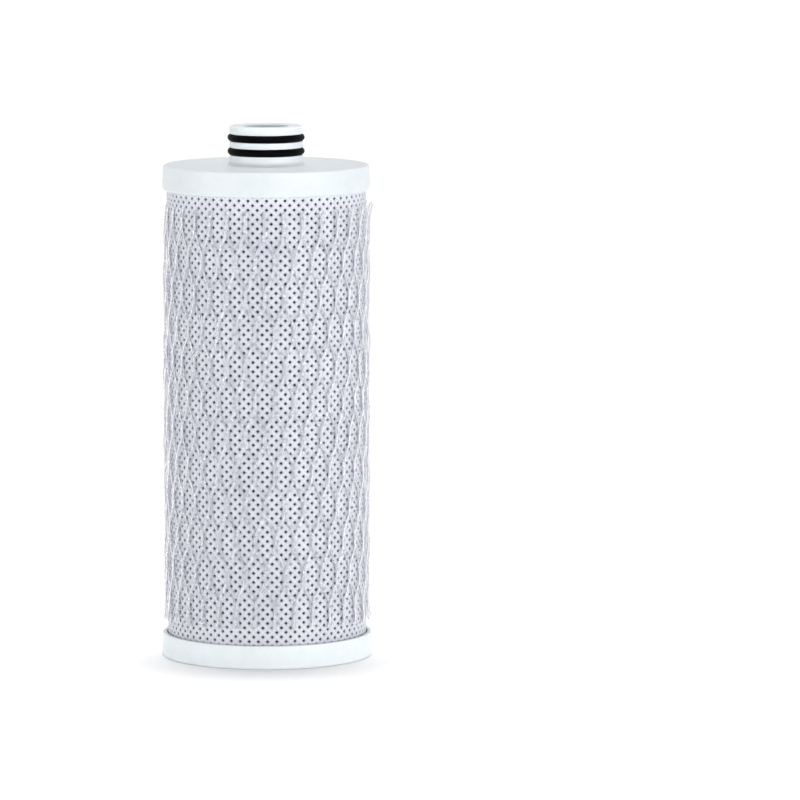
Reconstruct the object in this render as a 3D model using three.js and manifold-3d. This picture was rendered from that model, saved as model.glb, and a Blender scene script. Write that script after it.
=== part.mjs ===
// A drop-in water filter cartridge for a caravan or RV filter housing, standing on its closed end.
// Millimetres, +Z up. The origin is the centre of the underside of the bottom end cap.
//
// Water enters through the netting and the apertured wrap, passes inwards through the carbon block,
// and leaves by the core tube and the spigot, whose two O-rings seal in the housing's outlet socket.

import * as THREE from 'three';
import { mergeVertices } from 'three/addons/utils/BufferGeometryUtils.js';
import Module from 'manifold-3d';

// ---- Driving dimensions ----

const OVERALL_HEIGHT = 163.5;
const SHOULDER_HEIGHT = 151.5; // top face of the top end cap, where the spigot stands
const TOUCH_GAP = 0.1; // kept between pieces that are glued or wrapped on each other

const TOP_CAP = {
  rimRadius: 32.0,
  shoulderRadius: 31.55, // the skirt has moulding draft, so the cap is a little smaller on top
  skirtBottom: 144.0,
  skirtInnerRadius: 30.9,
  plateThickness: 2.0,
  shoulderEdge: 0.5,
  rimEdge: 0.6,
  seatRadius: 8.5, // recess under the plate that locates the core tube
  seatDepth: 1.0,
};

const SPIGOT = {
  radius: 11.2,
  boreRadius: 7.0,
  outerEdge: 0.6,
  mouthEdge: 0.5,
  footFillet: 0.8,
  grooveRadius: 9.45,
  grooveWidth: 2.3,
  upperGroove: 159.9,
  lowerGroove: 155.7,
};

const O_RING = { centreRadius: 10.7, sectionRadius: 1.1 };

const BOTTOM_CAP = {
  baseRadius: 32.35,
  rimRadius: 32.2,
  innerRadius: 30.9,
  height: 7.3,
  floorThickness: 1.8,
  baseEdge: 0.8,
  rimEdge: 0.4,
};

const BOND_THICKNESS = 1.0;
const BOND_RADIUS = 29.8;

const BLOCK = { outerRadius: 29.95, boreRadius: 9.0 };
const OUTER_WRAP_THICKNESS = 0.4;
const INNER_WRAP_THICKNESS = 0.5;
const NET = { innerRadius: 30.75, outerRadius: 31.85, bottom: 10.6, top: 139.6 };

const CORE = {
  innerRadius: 7.0,
  outerRadius: 8.3,
  windowWidth: 6.0,
  windowHeight: 9.0,
  windowColumns: 4,
  windowRows: 10,
};

const ROUND_STEPS = 64; // flats around the large pieces
const CORE_STEPS = 32; // flats around the core tube and its wrap
const CORNER_STEPS = 3; // flats around a rounded edge
const SECTION_STEPS = 12; // flats around an O-ring's section

// ---- Heights worked out from the driving dimensions ----

const plateUnderside = SHOULDER_HEIGHT - TOP_CAP.plateThickness;
const bottomBondLow = BOTTOM_CAP.floorThickness + TOUCH_GAP;
const blockBottom = bottomBondLow + BOND_THICKNESS + TOUCH_GAP;
const topBondHigh = plateUnderside - TOUCH_GAP;
const blockTop = topBondHigh - BOND_THICKNESS - TOUCH_GAP;
const coreTop = plateUnderside + TOP_CAP.seatDepth - TOUCH_GAP;

// ---- Shape helpers ----

// Points on a rounded edge, in the (radius, height) plane, between two angles in degrees.
function roundedEdge(centreRadius, centreHeight, edgeRadius, startDegrees, endDegrees) {
  const points = [];
  for (let step = 0; step <= CORNER_STEPS; step += 1) {
    const degrees = startDegrees + ((endDegrees - startDegrees) * step) / CORNER_STEPS;
    const angle = THREE.MathUtils.degToRad(degrees);
    const radius = centreRadius + edgeRadius * Math.cos(angle);
    const height = centreHeight + edgeRadius * Math.sin(angle);
    points.push([radius, height]);
  }
  return points;
}

// Turns a closed (radius, height) outline, listed anticlockwise, about the Z axis.
function turned(outline, steps) {
  const closed = [...outline, outline[0]];
  const profile = closed.map(([radius, height]) => new THREE.Vector2(radius, height));
  const geometry = new THREE.LatheGeometry(profile, steps);
  geometry.rotateX(Math.PI / 2);
  return geometry;
}

// A plain tube between two heights.
function tube(innerRadius, outerRadius, low, high, steps) {
  const outline = [
    [innerRadius, low],
    [outerRadius, low],
    [outerRadius, high],
    [innerRadius, high],
  ];
  return turned(outline, steps);
}

// ---- Boolean cutting ----

const manifoldLibrary = await Module();
manifoldLibrary.setup();

function toManifold(geometry) {
  const bare = geometry.clone();
  bare.deleteAttribute('normal');
  bare.deleteAttribute('uv');
  const merged = mergeVertices(bare);
  const mesh = new manifoldLibrary.Mesh({
    numProp: 3,
    vertProperties: new Float32Array(merged.attributes.position.array),
    triVerts: new Uint32Array(merged.index.array),
  });
  return new manifoldLibrary.Manifold(mesh);
}

function toGeometry(manifold) {
  const mesh = manifold.getMesh();
  const geometry = new THREE.BufferGeometry();
  geometry.setAttribute('position', new THREE.BufferAttribute(mesh.vertProperties, 3));
  geometry.setIndex(new THREE.BufferAttribute(mesh.triVerts, 1));
  geometry.computeVertexNormals();
  return geometry;
}

// ---- Sub-parts ----

// Rectangular O-ring groove in the spigot, from its upper edge to its lower edge.
function groove(centreHeight) {
  const halfWidth = SPIGOT.grooveWidth / 2;
  return [
    [SPIGOT.radius, centreHeight + halfWidth],
    [SPIGOT.grooveRadius, centreHeight + halfWidth],
    [SPIGOT.grooveRadius, centreHeight - halfWidth],
    [SPIGOT.radius, centreHeight - halfWidth],
  ];
}

// Moulded cap: flat plate, skirt over the wrapped block, and the grooved outlet spigot.
function topEndCap() {
  const { shoulderRadius, shoulderEdge, rimRadius, rimEdge, skirtBottom, skirtInnerRadius } = TOP_CAP;
  const { radius, boreRadius, outerEdge, mouthEdge, footFillet } = SPIGOT;
  const seatTop = plateUnderside + TOP_CAP.seatDepth;
  const clockwise = [
    [boreRadius, seatTop],
    ...roundedEdge(boreRadius + mouthEdge, OVERALL_HEIGHT - mouthEdge, mouthEdge, 180, 90),
    ...roundedEdge(radius - outerEdge, OVERALL_HEIGHT - outerEdge, outerEdge, 90, 0),
    ...groove(SPIGOT.upperGroove),
    ...groove(SPIGOT.lowerGroove),
    ...roundedEdge(radius + footFillet, SHOULDER_HEIGHT + footFillet, footFillet, 180, 270),
    ...roundedEdge(shoulderRadius - shoulderEdge, SHOULDER_HEIGHT - shoulderEdge, shoulderEdge, 90, 0),
    ...roundedEdge(rimRadius - rimEdge, skirtBottom + rimEdge, rimEdge, 0, -90),
    [skirtInnerRadius, skirtBottom],
    [skirtInnerRadius, plateUnderside],
    [TOP_CAP.seatRadius, plateUnderside],
    [TOP_CAP.seatRadius, seatTop],
  ];
  return turned(clockwise.reverse(), ROUND_STEPS);
}

// Rubber ring sitting in one of the spigot's grooves.
function oRing(centreHeight) {
  const outline = [];
  for (let step = 0; step < SECTION_STEPS; step += 1) {
    const angle = (step / SECTION_STEPS) * Math.PI * 2;
    const radius = O_RING.centreRadius + O_RING.sectionRadius * Math.cos(angle);
    const height = centreHeight + O_RING.sectionRadius * Math.sin(angle);
    outline.push([radius, height]);
  }
  return turned(outline, ROUND_STEPS);
}

// Moulded cup that closes the lower end of the block.
function bottomEndCap() {
  const { baseRadius, baseEdge, rimRadius, rimEdge, innerRadius, height, floorThickness } = BOTTOM_CAP;
  const outline = [
    [0, 0],
    ...roundedEdge(baseRadius - baseEdge, baseEdge, baseEdge, -90, 0),
    ...roundedEdge(rimRadius - rimEdge, height - rimEdge, rimEdge, 0, 90),
    [innerRadius, height],
    [innerRadius, floorThickness],
    [0, floorThickness],
  ];
  return turned(outline, ROUND_STEPS);
}

// Disc of hot-melt adhesive between the block and the bottom cap's floor.
function bottomBondDisc() {
  const outline = [
    [0, bottomBondLow],
    [BOND_RADIUS, bottomBondLow],
    [BOND_RADIUS, bottomBondLow + BOND_THICKNESS],
    [0, bottomBondLow + BOND_THICKNESS],
  ];
  return turned(outline, ROUND_STEPS);
}

// Ring of hot-melt adhesive between the block and the top cap's plate.
function topBondRing() {
  return tube(BLOCK.boreRadius, BOND_RADIUS, topBondHigh - BOND_THICKNESS, topBondHigh, ROUND_STEPS);
}

// Thick-walled cylinder of bonded activated carbon.
function carbonBlock() {
  return tube(BLOCK.boreRadius, BLOCK.outerRadius, blockBottom, blockTop, ROUND_STEPS);
}

// Apertured cover sheet, rolled around the block and running under both caps.
function outerWrap() {
  const innerRadius = BLOCK.outerRadius + TOUCH_GAP;
  return tube(innerRadius, innerRadius + OUTER_WRAP_THICKNESS, blockBottom, blockTop, ROUND_STEPS);
}

// Plastic netting sleeve between the caps, as a plain sleeve of its outer and inner size.
function outerNet() {
  return tube(NET.innerRadius, NET.outerRadius, NET.bottom, NET.top, ROUND_STEPS);
}

// Non-woven liner between the core tube and the block's bore.
function innerWrap() {
  const outerRadius = BLOCK.boreRadius - TOUCH_GAP;
  return tube(outerRadius - INNER_WRAP_THICKNESS, outerRadius, blockBottom, blockTop, CORE_STEPS);
}

// Moulded core tube with rows of windows, each row turned half a pitch from the last.
function coreTube() {
  const wall = toManifold(tube(CORE.innerRadius, CORE.outerRadius, blockBottom, coreTop, CORE_STEPS));
  const rowPitch = (blockTop - blockBottom) / CORE.windowRows;
  const columnPitch = (Math.PI * 2) / CORE.windowColumns;
  const window = new THREE.BoxGeometry(CORE.outerRadius, CORE.windowWidth, CORE.windowHeight);
  window.translate(CORE.outerRadius, 0, 0);
  let pierced = wall;
  for (let row = 0; row < CORE.windowRows; row += 1) {
    for (let column = 0; column < CORE.windowColumns; column += 1) {
      const turn = (column + (row % 2) / 2) * columnPitch;
      const cutter = window.clone();
      cutter.rotateZ(turn);
      cutter.translate(0, 0, blockBottom + (row + 0.5) * rowPitch);
      pierced = pierced.subtract(toManifold(cutter));
    }
  }
  return toGeometry(pierced);
}

// ---- Assembly ----

const cartridge = new THREE.Group();

function addPiece(name, geometry, color, roughness) {
  const material = new THREE.MeshStandardMaterial({ color, roughness, metalness: 0 });
  const piece = new THREE.Mesh(geometry, material);
  piece.name = name;
  cartridge.add(piece);
}

addPiece('top_end_cap', topEndCap(), 0xf4f7f8, 0.35);
addPiece('upper_o_ring', oRing(SPIGOT.upperGroove), 0x0a0a0b, 0.45);
addPiece('lower_o_ring', oRing(SPIGOT.lowerGroove), 0x0a0a0b, 0.45);
addPiece('bottom_end_cap', bottomEndCap(), 0xf4f7f8, 0.35);
addPiece('outer_net', outerNet(), 0xdfe1e8, 0.3);
addPiece('outer_wrap', outerWrap(), 0xe4e5ee, 0.6);
addPiece('carbon_block', carbonBlock(), 0x1b1c1f, 0.9);
addPiece('inner_wrap', innerWrap(), 0xeeeeec, 0.9);
addPiece('core_tube', coreTube(), 0xf0f2f2, 0.4);
addPiece('top_bond_ring', topBondRing(), 0xe9e4d2, 0.5);
addPiece('bottom_bond_disc', bottomBondDisc(), 0xe9e4d2, 0.5);

export default cartridge;
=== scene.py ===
"""The looks of a drop-in water filter cartridge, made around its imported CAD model.

Everything is in metres in the model's own frame: +Z up, the origin under the bottom end cap. Each
sub-assembly is a class that builds its pieces at the places the CAD nodes give, and each finish is a
small class named for the real material and how its surface was made.
"""

import logging
import math
from collections.abc import Callable
from dataclasses import dataclass, field
from enum import Enum
from functools import partial

import bpy
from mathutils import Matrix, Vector, noise


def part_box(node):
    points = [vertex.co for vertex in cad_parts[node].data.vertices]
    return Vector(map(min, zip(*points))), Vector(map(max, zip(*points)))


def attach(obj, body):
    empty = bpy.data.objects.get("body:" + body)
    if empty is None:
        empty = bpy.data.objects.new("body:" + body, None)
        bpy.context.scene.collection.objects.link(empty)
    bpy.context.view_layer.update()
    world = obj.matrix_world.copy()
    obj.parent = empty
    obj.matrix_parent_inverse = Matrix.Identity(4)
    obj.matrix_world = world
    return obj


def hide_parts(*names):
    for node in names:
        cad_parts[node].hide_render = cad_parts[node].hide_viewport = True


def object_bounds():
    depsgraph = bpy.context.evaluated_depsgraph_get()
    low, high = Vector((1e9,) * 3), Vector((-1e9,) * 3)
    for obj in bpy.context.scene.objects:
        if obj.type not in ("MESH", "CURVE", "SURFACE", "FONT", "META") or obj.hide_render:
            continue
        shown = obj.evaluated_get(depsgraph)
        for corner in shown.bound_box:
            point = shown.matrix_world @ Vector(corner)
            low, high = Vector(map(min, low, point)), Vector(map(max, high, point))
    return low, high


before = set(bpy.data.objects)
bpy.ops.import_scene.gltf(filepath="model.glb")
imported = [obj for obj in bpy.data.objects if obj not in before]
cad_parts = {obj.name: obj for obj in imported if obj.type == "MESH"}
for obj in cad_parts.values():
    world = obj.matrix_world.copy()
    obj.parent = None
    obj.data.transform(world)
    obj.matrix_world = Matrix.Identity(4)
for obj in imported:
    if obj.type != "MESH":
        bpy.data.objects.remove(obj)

CAD_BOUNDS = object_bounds()

MM = 0.001
BODY = "root"
RADIAL_SHIFT = Vector((7.0, 0.0, 0.0))  # keeps a strand's three ways of wandering apart
UPWARD_SHIFT = Vector((0.0, 11.0, 0.0))

log = logging.getLogger("cartridge")

Outline = list[tuple[float, float]]
Colour = tuple[float, float, float, float]
Socket = bpy.types.NodeSocket
NodeMaker = Callable[..., bpy.types.Node]


class Slot(Enum):
    """Material slots of the record, one for each kind of finish on the new pieces."""

    MOULDED_PP = "moulded_pp"
    O_RING_RUBBER = "o_ring_rubber"
    NET_PE = "net_pe"
    WRAP_FILM = "wrap_film"


# ---- Materials: shared tools ----


def linear(hex_colour: str) -> Colour:
    """Turns an sRGB hex colour into the linear colour that a shader takes.

    Args:
        hex_colour: six hex digits after a hash sign.

    Returns:
        Linear red, green and blue, with an alpha of 1.
    """
    channels = [int(hex_colour[i : i + 2], 16) / 255 for i in (1, 3, 5)]
    red, green, blue = (c / 12.92 if c <= 0.04045 else ((c + 0.055) / 1.055) ** 2.4 for c in channels)
    return red, green, blue, 1.0


def add_node(
    tree: bpy.types.NodeTree, kind: str, settings: dict | None = None, links: dict | None = None
) -> bpy.types.Node:
    """Adds a node, sets its inputs and attributes, and links sockets into it.

    Args:
        tree: the node tree to add to.
        kind: Blender's name of the node type, without the ShaderNode in front.
        settings: values by input name, input number or attribute name.
        links: what feeds inputs, by input name or number: a socket, or a node for its first output.

    Returns:
        The new node.
    """
    node = tree.nodes.new("ShaderNode" + kind)
    for key, value in (settings or {}).items():
        if isinstance(key, int) or key in node.inputs:
            node.inputs[key].default_value = value
        else:
            setattr(node, key, value)
    for key, source in (links or {}).items():
        socket = source.outputs[0] if isinstance(source, bpy.types.Node) else source
        tree.links.new(socket, node.inputs[key])
    return node


def blank_material(name: str) -> tuple[bpy.types.Material, NodeMaker, Socket]:
    """Makes a material with no surface yet.

    Args:
        name: the material's name.

    Returns:
        The material, add_node for its tree, and its object coordinates.
    """
    material = bpy.data.materials.new(name)
    material.use_nodes = True
    material.node_tree.nodes.clear()
    add = partial(add_node, material.node_tree)
    return material, add, add("TexCoord").outputs["Object"]


def per_metre(size_mm: float) -> float:
    """Texture scale at which one feature is size_mm across, in object coordinates of metres."""
    return 1.0 / (size_mm * MM)


# ---- Materials: finishes ----


@dataclass(frozen=True)
class MouldedPolypropylene:
    """White polypropylene, injection moulded in a finely spark-eroded tool.

    Reads as bright, slightly milky satin: light sinks in a little before it comes back, and the
    skin has a very fine grain over long shallow waves from the melt.
    """

    name: str = "polypropylene_injection_moulded_white"
    body_tint: str = "#D6DBDC"
    cool_tint: str = "#CBD2D5"
    roughness: float = 0.36
    grain_mm: float = 0.35  # real spark grain is under 0.1 mm; drawn coarser so that it shows
    melt_wave_mm: float = 4.0

    def make(self) -> bpy.types.Material:
        """Builds the material."""
        material, add, place = blank_material(self.name)
        waves = add(
            "TexNoise",
            {"Scale": per_metre(self.melt_wave_mm), "Detail": 3.0, "Roughness": 0.55},
            {"Vector": place},
        )
        grain = add("TexNoise", {"Scale": per_metre(self.grain_mm), "Detail": 2.0}, {"Vector": place})
        tint = add(
            "Mix", {"data_type": "RGBA", 6: linear(self.body_tint), 7: linear(self.cool_tint)}, {0: waves}
        )
        gloss = add(
            "MapRange", {"To Min": self.roughness - 0.06, "To Max": self.roughness + 0.08}, {"Value": waves}
        )
        ripple = add("Bump", {"Strength": 0.25, "Distance": 0.08 * MM}, {"Height": waves})
        skin = add("Bump", {"Strength": 0.18, "Distance": 0.02 * MM}, {"Height": grain, "Normal": ripple})
        shader = add(
            "BsdfPrincipled",
            {
                "IOR": 1.49,
                "Specular IOR Level": 0.3,
                "Subsurface Weight": 0.12,
                "Subsurface Scale": 1.2 * MM,
                "Subsurface Radius": (1.0, 0.9, 0.85),
            },
            {"Base Color": tint.outputs[2], "Roughness": gloss, "Normal": skin},
        )
        add("OutputMaterial", links={"Surface": shader})
        return material


@dataclass(frozen=True)
class MouldedRubber:
    """Black EPDM rubber, compression moulded and lightly greased.

    Reads as a deep black with one soft, low sheen along the top of the ring.
    """

    name: str = "epdm_rubber_compression_moulded"
    tint: str = "#010102"
    bloom_tint: str = "#050506"
    roughness: float = 0.5
    skin_mm: float = 0.3

    def make(self) -> bpy.types.Material:
        """Builds the material."""
        material, add, place = blank_material(self.name)
        skin = add(
            "TexNoise",
            {"Scale": per_metre(self.skin_mm), "Detail": 4.0, "Roughness": 0.6},
            {"Vector": place},
        )
        smear = add("TexNoise", {"Scale": per_metre(4.0), "Detail": 2.0}, {"Vector": place})
        tint = add(
            "Mix", {"data_type": "RGBA", 6: linear(self.tint), 7: linear(self.bloom_tint)}, {0: smear}
        )
        gloss = add(
            "MapRange", {"To Min": self.roughness - 0.12, "To Max": self.roughness + 0.12}, {"Value": smear}
        )
        bump = add("Bump", {"Strength": 0.2, "Distance": 0.02 * MM}, {"Height": skin})
        shader = add(
            "BsdfPrincipled",
            {"IOR": 1.5, "Specular IOR Level": 0.04},
            {"Base Color": tint.outputs[2], "Roughness": gloss, "Normal": bump},
        )
        add("OutputMaterial", links={"Surface": shader})
        return material


@dataclass(frozen=True)
class ExtrudedPolyethylene:
    """Low-density polyethylene, extruded as netting and stretched while warm.

    Reads as hazy flattened threads: what is behind shows through them softly, and they stand out
    from the sheet only where they catch a light, as thin bright lines.
    """

    name: str = "polyethylene_extruded_clear"
    tint: str = "#F1F2F6"
    clarity: float = 0.88
    roughness: float = 0.24
    bending: float = 1.12  # real polyethylene has 1.51; a fused, hazy thread bends less than a rod
    skin_roughness: float = 0.18
    draw_line_mm: float = 0.4

    def make(self) -> bpy.types.Material:
        """Builds the material."""
        material, add, place = blank_material(self.name)
        stretched = add("Mapping", {"Scale": (1.0, 1.0, 0.15)}, {"Vector": place})
        lines = add(
            "TexNoise", {"Scale": per_metre(self.draw_line_mm), "Detail": 2.0}, {"Vector": stretched}
        )
        cloud = add("TexNoise", {"Scale": per_metre(3.0), "Detail": 2.0}, {"Vector": place})
        gloss = add(
            "MapRange", {"To Min": self.roughness - 0.06, "To Max": self.roughness + 0.14}, {"Value": cloud}
        )
        bump = add("Bump", {"Strength": 0.2, "Distance": 0.03 * MM}, {"Height": lines})
        haze = add(
            "MapRange", {"To Min": self.clarity - 0.15, "To Max": self.clarity + 0.15}, {"Value": cloud}
        )
        shader = add(
            "BsdfPrincipled",
            {
                "Base Color": linear(self.tint),
                "IOR": self.bending,
                "Coat Weight": 0.6,
                "Coat IOR": 1.51,
                "Coat Roughness": self.skin_roughness,
            },
            {"Roughness": gloss, "Normal": bump, "Transmission Weight": haze},
        )
        add("OutputMaterial", links={"Surface": shader})
        return material


@dataclass(frozen=True)
class AperturedFilm:
    """White polypropylene film, embossed with a diamond grid and pierced once in each diamond.

    Reads as a cool pale grey sheet, a little duller than the moulded caps, with thin ridges that
    cross between the holes; the ridges carry a painted highlight, a paler tint where their edges
    would catch the light.
    """

    hole_pitch: float
    row_pitch: float
    first_row: float
    start_degrees: float
    girth: float
    name: str = "polypropylene_film_embossed_apertured"
    tint: str = "#D4D5DB"
    thin_tint: str = "#ACAFBC"
    # painted highlight: the paler tint laid along the ridges
    ridge_highlight_tint: str = "#EEEFF4"
    ridge_share: float = 0.06  # half width of a ridge, as a share of the diamond's width
    roughness: float = 0.46

    def make(self) -> bpy.types.Material:
        """Builds the material."""
        material, add, place = blank_material(self.name)
        mottle = add(
            "TexNoise", {"Scale": per_metre(9.0), "Detail": 4.0, "Roughness": 0.6}, {"Vector": place}
        )
        fine = add("TexNoise", {"Scale": per_metre(0.5), "Detail": 2.0}, {"Vector": place})
        ridge = self._ridges(add, place)
        sheet = add(
            "Mix", {"data_type": "RGBA", 6: linear(self.tint), 7: linear(self.thin_tint)}, {0: mottle}
        )
        # fine noise breaks up the painted ridge highlight, so that it is stronger in some places than
        # others
        ridge_highlight_breakup = add(
            "MapRange", {"From Min": 0.3, "From Max": 0.6, "To Min": 0.45, "To Max": 1.0}, {"Value": fine}
        )
        shown = add("Math", {"operation": "MULTIPLY"}, {0: ridge, 1: ridge_highlight_breakup})
        # painted highlight: the ridges are tinted paler, as where their edges catch the light
        tint = add(
            "Mix", {"data_type": "RGBA", 7: linear(self.ridge_highlight_tint)}, {0: shown, 6: sheet.outputs[2]}
        )
        gloss = add(
            "MapRange", {"To Min": self.roughness + 0.08, "To Max": self.roughness - 0.1}, {"Value": fine}
        )
        embossed = add("Bump", {"Strength": 0.5, "Distance": 0.08 * MM}, {"Height": ridge})
        skin = add("Bump", {"Strength": 0.25, "Distance": 0.04 * MM}, {"Height": fine, "Normal": embossed})
        shader = add(
            "BsdfPrincipled",
            {"IOR": 1.49},
            {"Base Color": tint.outputs[2], "Roughness": gloss, "Normal": skin},
        )
        add("OutputMaterial", links={"Surface": shader})
        return material

    def _ridges(self, add: NodeMaker, place: Socket) -> bpy.types.Node:
        """Draws the crossing ridges on the edges of the diamonds.

        Args:
            add: add_node for the material's tree.
            place: object coordinates.

        Returns:
            A node that is 1 on a ridge and 0 away from it.
        """
        axes = add("SeparateXYZ", links={"Vector": place})
        turn = add("Math", {"operation": "ARCTAN2"}, {0: axes.outputs["Y"], 1: axes.outputs["X"]})
        turns = add(
            "Math",
            {"operation": "MULTIPLY_ADD", 1: 1 / math.tau, 2: 1 - self.start_degrees / 360},
            {0: turn},
        )
        from_edge = add("Math", {"operation": "FRACT"}, {0: turns})
        across = add("Math", {"operation": "MULTIPLY", 1: self.girth / self.hole_pitch}, {0: from_edge})
        along = add(
            "Math",
            {"operation": "MULTIPLY_ADD", 1: 1 / self.row_pitch, 2: -self.first_row / self.row_pitch},
            {0: axes.outputs["Z"]},
        )
        fade = {"interpolation_type": "SMOOTHSTEP", "To Min": 1.0, "To Max": 0.0}
        fade["From Max"] = self.ridge_share
        lines = []
        for lean in (1.0, -1.0):
            lane = add("Math", {"operation": "MULTIPLY_ADD", 1: lean}, {0: along, 2: across})
            share = add("Math", {"operation": "FRACT"}, {0: lane})
            off = add("Math", {"operation": "SUBTRACT", 1: 0.5}, {0: share})
            away = add("Math", {"operation": "ABSOLUTE"}, {0: off})
            lines.append(add("MapRange", fade, {"Value": away}))
        return add("Math", {"operation": "MAXIMUM"}, {0: lines[0], 1: lines[1]})


@dataclass(frozen=True)
class BondedCarbon:
    """Activated carbon granules, pressed and sintered with a binder.

    Reads as dead matt, from soot black to a dusty blue grey, with a gritty face.
    """

    name: str = "activated_carbon_sintered"
    tint: str = "#14151A"
    dust_tint: str = "#565763"
    grit_mm: float = 0.35
    dust_mm: float = 2.2

    def make(self) -> bpy.types.Material:
        """Builds the material."""
        material, add, place = blank_material(self.name)
        grit = add("TexVoronoi", {"Scale": per_metre(self.grit_mm)}, {"Vector": place})
        patches = add(
            "TexNoise",
            {"Scale": per_metre(self.dust_mm), "Detail": 4.0, "Roughness": 0.65},
            {"Vector": place},
        )
        dusty = add("MapRange", {"From Min": 0.36, "From Max": 0.68}, {"Value": patches})
        tint = add(
            "Mix", {"data_type": "RGBA", 6: linear(self.tint), 7: linear(self.dust_tint)}, {0: dusty}
        )
        bump = add("Bump", {"Strength": 0.8, "Distance": 0.15 * MM}, {"Height": grit})
        shader = add(
            "BsdfPrincipled",
            {"Roughness": 0.92, "IOR": 1.5, "Specular IOR Level": 0.2},
            {"Base Color": tint.outputs[2], "Normal": bump},
        )
        add("OutputMaterial", links={"Surface": shader})
        return material


@dataclass(frozen=True)
class SpunBondedFelt:
    """White polypropylene fibre, spun-bonded into a thin felt.

    Reads as soft matt white with fine crossing fibres.
    """

    name: str = "polypropylene_spun_bonded"
    tint: str = "#F2F2EF"
    shade_tint: str = "#D3D3CF"
    fibre_mm: float = 0.25

    def make(self) -> bpy.types.Material:
        """Builds the material."""
        material, add, place = blank_material(self.name)
        fibres = []
        for lean in (0.7, -0.7):
            combed = add(
                "Mapping", {"Rotation": (lean, lean, 0.0), "Scale": (1.0, 1.0, 0.12)}, {"Vector": place}
            )
            strand = add("TexNoise", {"Scale": per_metre(self.fibre_mm), "Detail": 3.0}, {"Vector": combed})
            fibres.append(strand)
        mat = add("Math", {"operation": "MAXIMUM"}, {0: fibres[0], 1: fibres[1]})
        tint = add("Mix", {"data_type": "RGBA", 6: linear(self.shade_tint), 7: linear(self.tint)}, {0: mat})
        bump = add("Bump", {"Strength": 0.6, "Distance": 0.1 * MM}, {"Height": mat})
        shader = add(
            "BsdfPrincipled",
            {"Roughness": 0.9, "IOR": 1.49, "Sheen Weight": 0.2, "Sheen Roughness": 0.5},
            {"Base Color": tint.outputs[2], "Normal": bump},
        )
        add("OutputMaterial", links={"Surface": shader})
        return material


@dataclass(frozen=True)
class HotMeltAdhesive:
    """Cream EVA hot-melt adhesive, poured and pressed flat while molten.

    Reads as a waxy, slightly see-through cream with smooth flow waves.
    """

    name: str = "eva_hot_melt_poured"
    tint: str = "#EFE7CE"
    deep_tint: str = "#DDD0AC"

    def make(self) -> bpy.types.Material:
        """Builds the material."""
        material, add, place = blank_material(self.name)
        flow = add(
            "TexNoise", {"Scale": per_metre(5.0), "Detail": 2.0, "Distortion": 1.2}, {"Vector": place}
        )
        tint = add("Mix", {"data_type": "RGBA", 6: linear(self.tint), 7: linear(self.deep_tint)}, {0: flow})
        bump = add("Bump", {"Strength": 0.5, "Distance": 0.3 * MM}, {"Height": flow})
        shader = add(
            "BsdfPrincipled",
            {"Roughness": 0.38, "IOR": 1.48, "Subsurface Weight": 0.3, "Subsurface Scale": 1.5 * MM},
            {"Base Color": tint.outputs[2], "Normal": bump},
        )
        add("OutputMaterial", links={"Surface": shader})
        return material


@dataclass(frozen=True)
class BackdropPaper:
    """White seamless studio paper, calendered and matt.

    Reads as a clean white ground with no sheen.
    """

    name: str = "studio_paper_matt_white"
    tint: str = "#FEFEFE"
    fibre_tint: str = "#FCFCFC"

    def make(self) -> bpy.types.Material:
        """Builds the material."""
        material, add, place = blank_material(self.name)
        fibre = add("TexNoise", {"Scale": per_metre(1.5)}, {"Vector": place})
        tint = add(
            "Mix", {"data_type": "RGBA", 6: linear(self.tint), 7: linear(self.fibre_tint)}, {0: fibre}
        )
        shader = add(
            "BsdfPrincipled",
            {"Roughness": 0.95, "Specular IOR Level": 0.1},
            {"Base Color": tint.outputs[2]},
        )
        add("OutputMaterial", links={"Surface": shader})
        return material


# ---- Geometry: shared tools ----


@dataclass(frozen=True)
class Extent:
    """Outer radius, lowest and highest point of a round CAD node, in metres."""

    radius: float
    low: float
    high: float

    @classmethod
    def of(cls, node: str) -> "Extent":
        """Reads the extent of a CAD node.

        Args:
            node: the node's name.

        Returns:
            Its extent at rest.
        """
        lowest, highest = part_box(node)
        return cls((highest[0] - lowest[0]) / 2, lowest[2], highest[2])

    @property
    def middle(self) -> float:
        """Height of the node's middle."""
        return (self.low + self.high) / 2


def polar(radius: float, angle: float, height: float) -> tuple[float, float, float]:
    """Point at a radius and an angle about the Z axis, at a height."""
    return radius * math.cos(angle), radius * math.sin(angle), height


def arc(centre: tuple[float, float], radius: float, start: float, end: float, steps: int = 8) -> Outline:
    """Points on a round corner of an outline.

    Args:
        centre: the corner's centre, as (radius, height).
        radius: the corner's radius.
        start: first angle in degrees.
        end: last angle in degrees.
        steps: number of flats.

    Returns:
        The points from start to end.
    """
    points = []
    for step in range(steps + 1):
        angle = math.radians(start + (end - start) * step / steps)
        points.append((centre[0] + radius * math.cos(angle), centre[1] + radius * math.sin(angle)))
    return points


def blend_step(low: float, high: float, value: float) -> float:
    """Rises smoothly from 0 to 1 as value goes from low to high."""
    share = min(1.0, max(0.0, (value - low) / (high - low)))
    return share * share * (3 - 2 * share)


def put_in_scene(name: str, data: bpy.types.ID) -> bpy.types.Object:
    """Makes an object of a mesh, lamp or camera.

    Args:
        name: the object's name.
        data: what it shows.

    Returns:
        The new object, in the scene at the origin.
    """
    made = bpy.data.objects.new(name, data)
    bpy.context.scene.collection.objects.link(made)
    return made


def mesh_object(name: str, points: list, faces: list, crease_degrees: float) -> bpy.types.Object:
    """Makes a shown object from points and faces, smooth apart from its creases.

    Args:
        name: the piece's name.
        points: vertex positions.
        faces: vertex numbers of each face.
        crease_degrees: faces that meet at a larger angle than this stay sharp.

    Returns:
        The new object.
    """
    mesh = bpy.data.meshes.new(name)
    mesh.from_pydata(points, [], faces)
    mesh.validate()
    mesh.shade_smooth()
    mesh.set_sharp_from_angle(angle=math.radians(crease_degrees))
    return put_in_scene(name, mesh)


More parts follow.
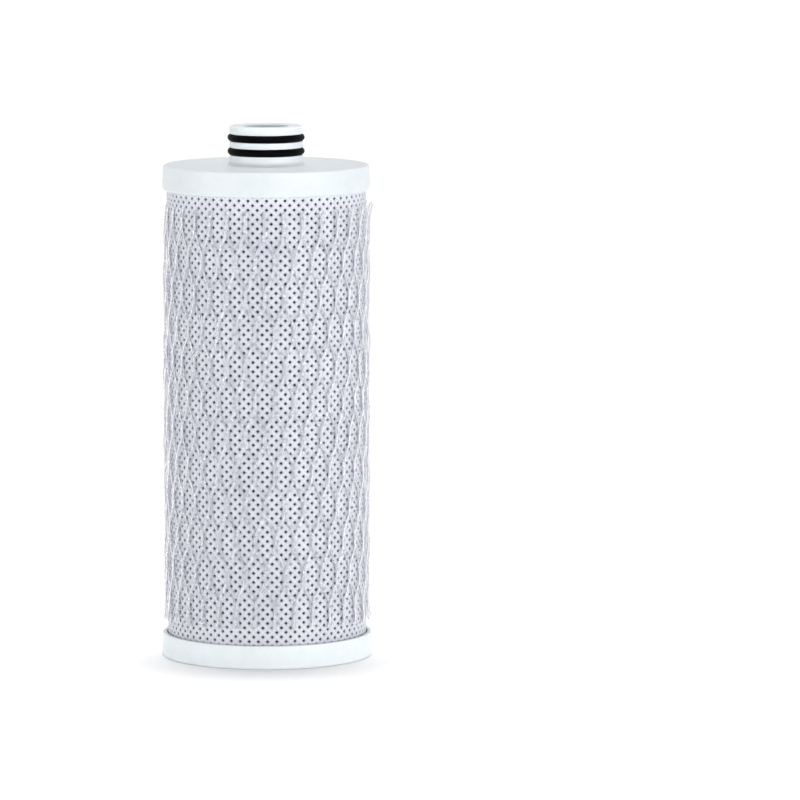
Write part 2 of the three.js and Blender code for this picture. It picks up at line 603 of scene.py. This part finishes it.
def turned(name: str, outline: Outline, steps: int = 256) -> bpy.types.Object:
    """Turns an outline about the Z axis into a closed piece.

    Args:
        name: the piece's name.
        outline: (radius, height) points, anticlockwise, with radius 0 only at its two ends.
        steps: number of flats around.

    Returns:
        The new object.
    """
    points: list[tuple[float, float, float]] = []
    rings: list[list[int]] = []
    for radius, height in outline:
        if radius == 0:
            rings.append([len(points)] * steps)
            points.append((0.0, 0.0, height))
            continue
        rings.append(list(range(len(points), len(points) + steps)))
        points.extend(polar(radius, math.tau * step / steps, height) for step in range(steps))
    faces = []
    on_axis = outline[0][0] == 0
    pairs = zip(rings, rings[1:] if on_axis else rings[1:] + rings[:1], strict=False)
    for lower, upper in pairs:
        for step in range(steps):
            after = (step + 1) % steps
            corners = [lower[step], lower[after], upper[after], upper[step]]
            faces.append(list(dict.fromkeys(corners)))
    return mesh_object(name, points, faces, crease_degrees=32.0)


def fit(piece: bpy.types.Object, finish: bpy.types.Material, slot: Slot, *stands_for: str) -> None:
    """Dresses a piece, rides it on the cartridge and says which CAD nodes it stands for.

    Args:
        piece: the piece.
        finish: its material.
        slot: the record's slot for that material; not used.
        stands_for: CAD nodes that the piece replaces.
    """
    piece.data.materials.clear()
    piece.data.materials.append(finish)
    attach(piece, BODY)
    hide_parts(*stands_for)
    log.info("%s: %d faces, in place of %s", piece.name, len(piece.data.polygons), ", ".join(stands_for))


# ---- Sub-assemblies ----


@dataclass
class TopEndCap:
    """Cap with a skirt over the wrapped block and a spigot with two O-ring grooves."""

    finish: bpy.types.Material
    cap: Extent = field(default_factory=lambda: Extent.of("top_end_cap"))
    rings: tuple[Extent, Extent] = field(
        default_factory=lambda: (Extent.of("upper_o_ring"), Extent.of("lower_o_ring"))
    )
    shoulder_drop: float = 12.0 * MM  # from the spigot's end down to the cap's flat top
    shoulder_radius: float = 31.55 * MM
    shoulder_edge: float = 0.5 * MM
    rim_edge: float = 0.6 * MM
    skirt_wall: float = 1.1 * MM
    plate: float = 2.0 * MM
    seat_radius: float = 8.5 * MM
    seat_depth: float = 1.0 * MM
    spigot_radius: float = 11.2 * MM
    bore_radius: float = 7.0 * MM
    spigot_edge: float = 0.6 * MM
    mouth_edge: float = 0.5 * MM
    foot_fillet: float = 1.5 * MM
    groove_slack: float = 0.05 * MM
    groove_radius: float = 9.45 * MM
    groove_edge: float = 0.12 * MM

    def _groove(self, ring: Extent) -> Outline:
        """Outline of one groove, from its upper lip to its lower lip."""
        half = (ring.high - ring.low) / 2 + self.groove_slack
        lip = self.spigot_radius - self.groove_edge
        edge = self.groove_edge
        return [
            *arc((lip, ring.middle + half + edge), edge, 0, -90, 4),
            (self.groove_radius, ring.middle + half),
            (self.groove_radius, ring.middle - half),
            *arc((lip, ring.middle - half - edge), edge, 90, 0, 4),
        ]

    def build(self) -> None:
        """Makes the cap."""
        top = self.cap.high
        shoulder = top - self.shoulder_drop
        underside = shoulder - self.plate
        seat_top = underside + self.seat_depth
        rim = self.cap.radius
        spigot = self.spigot_radius
        inner = rim - self.skirt_wall
        clockwise = [
            (self.bore_radius, seat_top),
            *arc((self.bore_radius + self.mouth_edge, top - self.mouth_edge), self.mouth_edge, 180, 90),
            *arc((spigot - self.spigot_edge, top - self.spigot_edge), self.spigot_edge, 90, 0),
            *self._groove(self.rings[0]),
            *self._groove(self.rings[1]),
            *arc((spigot + self.foot_fillet, shoulder + self.foot_fillet), self.foot_fillet, 180, 270),
            *arc(
                (self.shoulder_radius - self.shoulder_edge, shoulder - self.shoulder_edge),
                self.shoulder_edge,
                90,
                0,
            ),
            *arc((rim - self.rim_edge, self.cap.low + self.rim_edge), self.rim_edge, 0, -90),
            (inner, self.cap.low),
            (inner, underside),
            (self.seat_radius, underside),
            (self.seat_radius, seat_top),
        ]
        piece = turned("end_cap_with_spigot", clockwise[::-1])
        fit(piece, self.finish, Slot.MOULDED_PP, "top_end_cap")


@dataclass
class BottomEndCap:
    """Cup that closes the lower end and carries the cartridge."""

    finish: bpy.types.Material
    cap: Extent = field(default_factory=lambda: Extent.of("bottom_end_cap"))
    rim_radius: float = 32.2 * MM
    inner_radius: float = 30.9 * MM
    floor: float = 1.8 * MM
    base_edge: float = 0.8 * MM
    rim_edge: float = 0.4 * MM
    lip_edge: float = 0.2 * MM

    def build(self) -> None:
        """Makes the cup."""
        base = self.cap.radius
        top = self.cap.high
        outline = [
            (0.0, self.cap.low),
            *arc((base - self.base_edge, self.cap.low + self.base_edge), self.base_edge, -90, 0),
            *arc((self.rim_radius - self.rim_edge, top - self.rim_edge), self.rim_edge, 0, 90),
            *arc((self.inner_radius + self.lip_edge, top - self.lip_edge), self.lip_edge, 90, 180),
            (self.inner_radius, self.cap.low + self.floor),
            (0.0, self.cap.low + self.floor),
        ]
        fit(turned("end_cap_cup", outline), self.finish, Slot.MOULDED_PP, "bottom_end_cap")


@dataclass
class SpigotRings:
    """The two rubber rings on the spigot, each with the fine flash line of its mould."""

    finish: bpy.types.Material
    section_steps: int = 48
    flash: float = 0.04 * MM
    flash_degrees: float = 5.0

    def build(self) -> None:
        """Makes both rings."""
        for node, name in (("upper_o_ring", "seal_ring_upper"), ("lower_o_ring", "seal_ring_lower")):
            ring = Extent.of(node)
            section = (ring.high - ring.low) / 2
            centre = ring.radius - section
            outline = []
            for step in range(self.section_steps):
                degrees = 360 * step / self.section_steps
                off_flash = min(degrees, 360 - degrees)
                proud = self.flash * math.exp(-((off_flash / self.flash_degrees) ** 2))
                reach = section + proud
                angle = math.radians(degrees)
                outline.append((centre + reach * math.cos(angle), ring.middle + reach * math.sin(angle)))
            fit(turned(name, outline), self.finish, Slot.O_RING_RUBBER, node)


@dataclass
class AperturedWrap:
    """Embossed sheet with a hole in each diamond, rolled round the block and welded where it laps."""

    sheet: Extent = field(default_factory=lambda: Extent.of("outer_wrap"))
    hole_pitch: float = 2.825 * MM
    row_pitch: float = 2.802 * MM
    hole_radius: float = 0.46 * MM
    diamond_pull: float = 0.06  # how much the holes are drawn out towards their four corners
    ridge_rise: float = 0.1 * MM
    thickness: float = 0.4 * MM
    plain_edge: float = 2.6 * MM  # unpierced edge at both ends of the sheet
    start_degrees: float = 80.0
    lap: float = 6.0 * MM
    lap_rise: float = 0.3 * MM
    lap_ramp: float = 2.5 * MM
    hole_corners: int = 8

    def __post_init__(self) -> None:
        """Sets up the sheet's lists of points and faces."""
        self.points: list[tuple[float, float, float]] = []
        self.faces: list[list[int]] = []
        self.known: dict[tuple[int, int], int] = {}

    @property
    def girth(self) -> float:
        """Distance once round the sheet."""
        return math.tau * self.sheet.radius

    @property
    def first_row(self) -> float:
        """Height of the lowest row of holes."""
        return self.sheet.low + self.plain_edge

    @property
    def half_rows(self) -> int:
        """Number of half pitches between the lowest and the highest row of holes."""
        room = self.sheet.high - self.plain_edge - self.first_row
        return int(room / (self.row_pitch / 2))

    @property
    def half_columns(self) -> int:
        """Number of half pitches from the sheet's inner edge to its outer edge."""
        return int((self.girth + self.lap) / (self.hole_pitch / 2))

    def _add(self, radius: float, along: float, height: float) -> int:
        """Adds a point and gives its number.

        Args:
            radius: distance from the axis, before the lap lifts the sheet.
            along: distance along the sheet from its inner edge.
            height: the point's height.

        Returns:
            The point's number.
        """
        lift = self.lap_rise * blend_step(self.girth - self.lap_ramp, self.girth, along)
        angle = math.radians(self.start_degrees) + along / self.sheet.radius
        self.points.append(polar(radius + lift, angle, height))
        return len(self.points) - 1

    def _welded(self, along: float) -> bool:
        """True where the two ends of the sheet lie on each other."""
        return along < self.lap or along > self.girth

    def _corner(self, column: int, row: int) -> int:
        """Number of the diamond corner at a half column and a half row."""
        key = (column, row)
        if key not in self.known:
            along = column * self.hole_pitch / 2
            rise = 0.0 if self._welded(along) else self.ridge_rise
            height = self.first_row + row * self.row_pitch / 2
            self.known[key] = self._add(self.sheet.radius + rise, along, height)
        return self.known[key]

    def _hole(self, along: float, height: float) -> tuple[list[int], list[int]]:
        """Adds the points of one hole.

        Args:
            along: the hole's distance along the sheet.
            height: the hole's height.

        Returns:
            Numbers of the points on its rim and at its root.
        """
        rim, root = [], []
        for step in range(self.hole_corners):
            around = math.tau * step / self.hole_corners
            reach = self.hole_radius * (1 + self.diamond_pull * math.cos(4 * around))
            place = along + reach * math.cos(around)
            level = height + reach * math.sin(around)
            rim.append(self._add(self.sheet.radius, place, level))
            root.append(self._add(self.sheet.radius - self.thickness, place, level))
        return rim, root

    def _pierced(self, column: int, row: int, corners: list[int]) -> None:
        """Adds the faces of a diamond with a hole in it.

        Args:
            column: the diamond's half column.
            row: its half row.
            corners: its corners' numbers, from the right one anticlockwise.
        """
        around = self.hole_corners
        quarter = around // 4
        height = self.first_row + row * self.row_pitch / 2
        rim, root = self._hole(column * self.hole_pitch / 2, height)
        for turn, corner in enumerate(corners):
            nearest = turn * quarter
            for step in range(-(quarter // 2), quarter // 2):
                here = rim[(nearest + step) % around]
                ahead = rim[(nearest + step + 1) % around]
                self.faces.append([corner, ahead, here])
            between = rim[(nearest + quarter // 2) % around]
            self.faces.append([corner, corners[(turn + 1) % 4], between])
        for step in range(around):
            after = (step + 1) % around
            self.faces.append([rim[step], rim[after], root[after], root[step]])

    def _diamond(self, column: int, row: int) -> None:
        """Adds one diamond, or the half of one that fits on the sheet."""
        right, left = column < self.half_columns, column > 0
        corners = [self._corner(column + 1, row)] if right else []
        corners.append(self._corner(column, row + 1))
        corners += [self._corner(column - 1, row)] if left else []
        corners.append(self._corner(column, row - 1))
        if self._welded(column * self.hole_pitch / 2) or not (right and left):
            self.faces.append(corners)
        else:
            self._pierced(column, row, corners)

    def _plain_strip(self, row: int, level: float) -> None:
        """Fills the plain strip between the outermost diamonds and an end of the sheet.

        Args:
            row: the outermost row of holes, in half pitches.
            level: height of the sheet's end.
        """
        beyond = -1 if row == 0 else 1
        half_pitch = self.hole_pitch / 2
        ends, edge = [], []
        for column in range(self.half_columns + 1):
            ends.append(self._add(self.sheet.radius, column * half_pitch, level))
            edge.append(self._corner(column, row if (column + row) % 2 else row + beyond))
        for column in range(self.half_columns):
            strip = [ends[column], ends[column + 1], edge[column + 1], edge[column]]
            self.faces.append(strip if beyond < 0 else strip[::-1])

    def build(self) -> None:
        """Makes the sheet."""
        for row in range(self.half_rows + 1):
            for column in range(row % 2, self.half_columns + 1, 2):
                self._diamond(column, row)
        self._plain_strip(0, self.sheet.low)
        self._plain_strip(self.half_rows, self.sheet.high)
        piece = mesh_object("apertured_wrap", self.points, self.faces, crease_degrees=40.0)
        film = AperturedFilm(
            hole_pitch=self.hole_pitch,
            row_pitch=self.row_pitch,
            first_row=self.first_row,
            start_degrees=self.start_degrees,
            girth=self.girth,
        )
        fit(piece, film.make(), Slot.WRAP_FILM, "outer_wrap")


@dataclass(frozen=True)
class StrandLayer:
    """One layer of strands: how it leans and how far out it lies."""

    name: str
    lean: int
    radius: float
    joint_radius: float
    finish: bpy.types.Material


@dataclass
class Netting:
    """Extruded diamond netting: two layers of strands, fused where they run together."""

    layers: tuple[StrandLayer, ...]
    sleeve: Extent = field(default_factory=lambda: Extent.of("outer_net"))
    strands: int = 33
    row_pitch: float = 10.62 * MM
    joint_height: float = 5.0 * MM
    joint_drift: float = 0.42  # share of the lean that carries on through a joint
    strand_width: float = 1.0 * MM
    joint_width: float = 1.1 * MM
    strand_depth: float = 0.42 * MM
    section_power: float = 3.0  # 2 would be an ellipse, more is flatter
    steps_per_row: int = 12
    section_corners: int = 8
    turn_degrees: float = 3.0
    rise: float = 6.9 * MM  # from the lower end to the lowest joint
    fused_from: float = 0.7  # where a joint starts to part, as a share of half its height
    fused_to: float = 1.4
    loose_lean: float = 0.35  # share of the lean left in the cut ends past the last joint
    cut_slant: float = 1.7 * MM
    wander: float = 0.25 * MM
    wander_span: float = 14.0 * MM
    wander_up: float = 1.5  # how much more it wanders up and down than sideways
    outward: float = 0.2  # how far out its wandering is shifted, as a share of it
    flare: float = 1.1 * MM
    flare_reach: float = 4.0 * MM
    low_flare: float = 0.25
    ragged: float = 0.3
    rounded_end: float = 0.8
    melted_width: float = 1.1  # how much wider the lower ends have run, as a share
    melt_reach: float = 0.7 * MM

    def _sideways(self, share: float) -> float:
        """Share of a half pitch that a strand has moved sideways, at this share of a row."""
        joint = self.joint_height / self.row_pitch / 2
        diagonal = min(1.0, max(0.0, (share - joint) / (1 - 2 * joint)))
        return self.joint_drift * share + (1 - self.joint_drift) * diagonal

    def _joined(self, share: float) -> float:
        """How far the strand is fused with its neighbour, from 0 to 1."""
        joint = self.joint_height / self.row_pitch / 2
        return 1 - blend_step(joint * self.fused_from, joint * self.fused_to, min(share, 1 - share))

    def _leaned(self, rows: float, last_joint: int) -> float:
        """Half pitches that a strand has moved sideways after a number of rows.

        Args:
            rows: rows above the lowest joint.
            last_joint: number of the highest joint.

        Returns:
            The half pitches, with less lean in the free ends than between joints.
        """
        if rows < 0:
            return self.loose_lean * (self._sideways(1 + rows) - 1)
        if rows > last_joint:
            return last_joint + self.loose_lean * self._sideways(rows - last_joint)
        row = math.floor(rows)
        return row + self._sideways(rows - row)

    def _flared(self, angle: float, height: float) -> float:
        """How far a cut end stands out, which is more on one side than on the other."""
        from_top = max(0.0, self.sleeve.high - height)
        from_low = max(0.0, height - self.sleeve.low)
        side = math.cos(angle)
        ragged = self.ragged * noise.noise(Vector(polar(5, angle, 0.5)))
        top = (side + ragged) * math.exp(-from_top / self.flare_reach)
        low = (self.low_flare + ragged) * math.exp(-from_low / self.flare_reach)
        return self.flare * (top + low)

    def _path(self, layer: StrandLayer, strand: int) -> list[tuple[Vector, float, float]]:
        """Follows one strand up the sleeve.

        Args:
            layer: the layer that it lies in.
            strand: its number in that layer.

        Returns:
            Its points, each with the strand's width and depth there.
        """
        half_pitch = math.pi / self.strands
        start = math.radians(self.turn_degrees) + 2 * strand * half_pitch
        low = self.sleeve.low + self.cut_slant * (1 - math.sin(start)) / 2
        span = self.sleeve.high - low
        count = int(span / self.row_pitch * self.steps_per_row)
        last_joint = math.floor((self.sleeve.high - self.sleeve.low - self.rise) / self.row_pitch)
        path = []
        for step in range(count + 1):
            height = low + span * step / count
            rows = (height - self.sleeve.low - self.rise) / self.row_pitch
            angle = start + layer.lean * self._leaned(rows, last_joint) * half_pitch
            spot = Vector(polar(self.sleeve.radius, angle, height)) / self.wander_span
            angle += self.wander * noise.noise(spot) / self.sleeve.radius
            joined = self._joined(rows - math.floor(rows))
            radius = layer.radius + joined * (layer.joint_radius - layer.radius)
            radius += self.wander * (noise.noise(spot + RADIAL_SHIFT) + self.outward)
            radius += self._flared(angle, height)
            level = height + self.wander_up * self.wander * noise.noise(spot + UPWARD_SHIFT)
            melted = math.exp(-(((height - low) / self.melt_reach) ** 2))
            width = self.strand_width + joined * (self.joint_width - self.strand_width)
            width *= 1 + self.melted_width * melted
            path.append((Vector(polar(radius, angle, level)), width, self.strand_depth))
        return path

    def _section(self) -> list[tuple[float, float]]:
        """Points round a strand's flattened section, from -1/2 to 1/2 each way."""
        power = 2 / self.section_power
        points = []
        for corner in range(self.section_corners):
            around = math.tau * corner / self.section_corners
            across, out = math.cos(around), math.sin(around)
            points.append(
                (math.copysign(abs(across) ** power, across) / 2, math.copysign(abs(out) ** power, out) / 2)
            )
        return points

    def _sweep(self, path: list, points: list, faces: list) -> None:
        """Sweeps a strand's section along its path, with melted round ends.

        Args:
            path: the strand's points, widths and depths.
            points: the points to add to.
            faces: the faces to add to.
        """
        section = self._section()
        corners = self.section_corners
        first = len(points)
        last = len(path) - 1
        for step, (spot, width, depth) in enumerate(path):
            ahead = (path[min(step + 1, last)][0] - path[max(step - 1, 0)][0]).normalized()
            outward = Vector((spot.x, spot.y, 0.0)).normalized()
            sideways = outward.cross(ahead).normalized()
            end = self.rounded_end if step in (0, last) else 1.0
            for across, out in section:
                points.append(tuple(spot + end * (sideways * (width * across) + outward * (depth * out))))
        for step in range(last):
            low = first + step * corners
            high = low + corners
            for corner in range(corners):
                after = (corner + 1) % corners
                faces.append([low + corner, high + corner, high + after, low + after])
        top = first + last * corners
        faces.append([first + corner for corner in range(corners)])
        faces.append([top + corner for corner in reversed(range(corners))])

    def build(self) -> None:
        """Makes both layers."""
        for layer in self.layers:
            points: list[tuple[float, float, float]] = []
            faces: list[list[int]] = []
            for strand in range(self.strands):
                self._sweep(self._path(layer, strand), points, faces)
            piece = mesh_object(layer.name, points, faces, crease_degrees=60.0)
            fit(piece, layer.finish, Slot.NET_PE, "outer_net")


@dataclass
class InnerPieces:
    """The CAD nodes inside the cartridge, whose shapes stay as they are."""

    finishes: dict[str, bpy.types.Material]

    def dress(self) -> None:
        """Gives each node its finish."""
        for node, finish in self.finishes.items():
            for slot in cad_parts[node].material_slots:
                slot.material = finish
            log.info("%s: dressed in %s", node, finish.name)


# ---- Studio ----


@dataclass(frozen=True)
class StripLight:
    """A long low soft light that faces the cartridge's middle and hardly grazes the floor."""

    name: str
    place: tuple[float, float, float]
    length: float
    power: float
    height: float = 0.26

    def hang(self, aim: Vector) -> None:
        """Sets the light up.

        Args:
            aim: the point that it faces.
        """
        lamp = bpy.data.lights.new(self.name, "AREA")
        lamp.shape = "RECTANGLE"
        lamp.size = self.length
        lamp.size_y = self.height
        lamp.energy = self.power
        holder = put_in_scene(self.name, lamp)
        holder.location = self.place
        holder.rotation_euler = (aim - Vector(self.place)).to_track_quat("-Z", "Y").to_euler()
        holder.visible_camera = False


@dataclass
class Studio:
    """White paper floor, a room that is white behind the cartridge, a diffuser overhead and low strip
    lights in front.
    """

    floor_size: float = 16.0
    front_strength: float = 0.16
    rear_strength: float = 0.8
    overhead_strength: float = 1.9
    overhead_softness_degrees: float = 15.0
    overhead_tilt_degrees: float = 5.0
    strips: tuple[StripLight, ...] = (
        StripLight("key_strip", (1.7, -1.1, 0.25), length=1.8, power=19.5, height=0.48),
        StripLight("fill_strip", (-1.7, -1.1, 0.25), length=1.8, power=18.5, height=0.48),
        StripLight("front_strip", (0.9, -2.1, 0.14), length=0.5, power=12.0),
    )
    snoot_place: tuple[float, float, float] = (0.15, -1.2, 0.75)
    snoot_power: float = 18.0
    snoot_degrees: float = 2.4
    snoot_softness: float = 0.01
    snoot_aim: float = 0.98  # as a share of the cartridge's height
    dim_up_to: float = -0.3  # how far back a direction points where the room starts to brighten
    bright_from: float = 0.4

    def build(self, paper: bpy.types.Material) -> None:
        """Makes the floor, the room's light and the lamps.

        Args:
            paper: the floor's material.
        """
        half = self.floor_size / 2
        corners = [(-half, -half, 0.0), (half, -half, 0.0), (half, half, 0.0), (-half, half, 0.0)]
        floor = mesh_object("studio_floor", corners, [[0, 1, 2, 3]], crease_degrees=30.0)
        floor.data.materials.append(paper)
        bpy.context.scene.view_settings.view_transform = "Standard"
        self._room()
        self._overhead()
        middle = Vector((0.0, 0.0, CAD_BOUNDS[1][2] / 2))
        for strip in self.strips:
            strip.hang(middle)
        self._snoot(Vector((0.0, 0.0, self.snoot_aim * CAD_BOUNDS[1][2])))

    def _room(self) -> None:
        """Surrounds the floor with a room that is white behind the cartridge and dim in front."""
        world = bpy.data.worlds.new("white_sweep")
        world.use_nodes = True
        world.node_tree.nodes.clear()
        add = partial(add_node, world.node_tree)
        way = add("TexCoord").outputs["Generated"]
        parts = add("SeparateXYZ", links={"Vector": way})
        light = add(
            "MapRange",
            {
                "From Min": self.dim_up_to,
                "From Max": self.bright_from,
                "To Min": self.front_strength,
                "To Max": self.rear_strength,
            },
            {"Value": parts.outputs["Y"]},
        )
        walls = add("Background", {"Color": linear("#FBFCFF")}, {"Strength": light})
        paper = add("Background", {"Color": linear("#FFFFFF"), "Strength": 1.0})
        seen = add("LightPath").outputs["Is Camera Ray"]
        room = add("MixShader", links={0: seen, 1: walls, 2: paper})
        add("OutputWorld", links={"Surface": room})
        bpy.context.scene.world = world

    def _snoot(self, aim: Vector) -> None:
        """Sets up a narrow soft-edged light from high in front, which opens up the spigot.

        Args:
            aim: the point that it faces.
        """
        lamp = bpy.data.lights.new("snoot", "SPOT")
        lamp.energy = self.snoot_power
        lamp.spot_size = math.radians(self.snoot_degrees)
        lamp.spot_blend = 1.0
        lamp.shadow_soft_size = self.snoot_softness
        holder = put_in_scene("snoot", lamp)
        holder.location = self.snoot_place
        holder.rotation_euler = (aim - holder.location).to_track_quat("-Z", "Y").to_euler()

    def _overhead(self) -> None:
        """Hangs a wide diffuser overhead, a little behind, so that the shadow falls forward."""
        lamp = bpy.data.lights.new("overhead_diffuser", "SUN")
        lamp.energy = self.overhead_strength
        lamp.angle = math.radians(self.overhead_softness_degrees)
        holder = put_in_scene("overhead_diffuser", lamp)
        holder.rotation_euler = (-math.radians(self.overhead_tilt_degrees), 0.0, 0.0)


@dataclass
class ProductCamera:
    """Long-lens camera that looks down a little, with the cartridge left of the middle."""

    elevation_degrees: float = 6.83
    distance: float = 1.96
    lens_mm: float = 286.7
    aim_height: float = 78.85 * MM
    aim_right: float = 41.0 * MM
    farthest: float = 100.0

    def build(self) -> None:
        """Makes the camera and makes it the scene's own."""
        camera = bpy.data.cameras.new("product_camera")
        camera.lens = self.lens_mm
        camera.clip_end = self.farthest
        holder = put_in_scene("product_camera", camera)
        tilt = math.radians(self.elevation_degrees)
        aim = Vector((self.aim_right, 0.0, self.aim_height))
        holder.location = aim + self.distance * Vector((0.0, -math.cos(tilt), math.sin(tilt)))
        holder.rotation_euler = (math.pi / 2 - tilt, 0.0, 0.0)
        bpy.context.scene.camera = holder


def main() -> None:
    """Builds the camera, the cartridge and the studio, in that order."""
    logging.basicConfig(level=logging.INFO, format="%(name)s: %(message)s")
    ProductCamera().build()

    white = MouldedPolypropylene().make()
    rubber = MouldedRubber().make()
    natural = MouldedPolypropylene(
        name="polypropylene_injection_moulded_natural",
        body_tint="#F8FAF9",
        cool_tint="#F0F3F3",
        roughness=0.42,
    ).make()
    # painted light: the lower cap is given a whiter tint than the upper one, to offset the shade it gets
    # near the floor
    painted_lighter_white = MouldedPolypropylene(
        name="polypropylene_injection_moulded_bright_white", body_tint="#E3E8E9", cool_tint="#D8DFE2"
    ).make()
    adhesive = HotMeltAdhesive().make()

    TopEndCap(white).build()
    SpigotRings(rubber).build()
    BottomEndCap(painted_lighter_white).build()
    AperturedWrap().build()
    # painted light: the outer layer is made hazier than the inner one so that its strands read brighter, as
    # if they caught more light
    painted_bright_frosted = ExtrudedPolyethylene("polyethylene_extruded_frosted", clarity=0.82).make()
    clear = ExtrudedPolyethylene().make()
    Netting(
        (
            StrandLayer("netting_outer_layer", 1, 31.55 * MM, 31.4 * MM, painted_bright_frosted),
            StrandLayer("netting_inner_layer", -1, 31.0 * MM, 31.1 * MM, clear),
        )
    ).build()
    InnerPieces(
        {
            "carbon_block": BondedCarbon().make(),
            "inner_wrap": SpunBondedFelt().make(),
            "core_tube": natural,
            "top_bond_ring": adhesive,
            "bottom_bond_disc": adhesive,
        }
    ).dress()
    Studio().build(BackdropPaper().make())


if __name__ == "__main__":
    main()
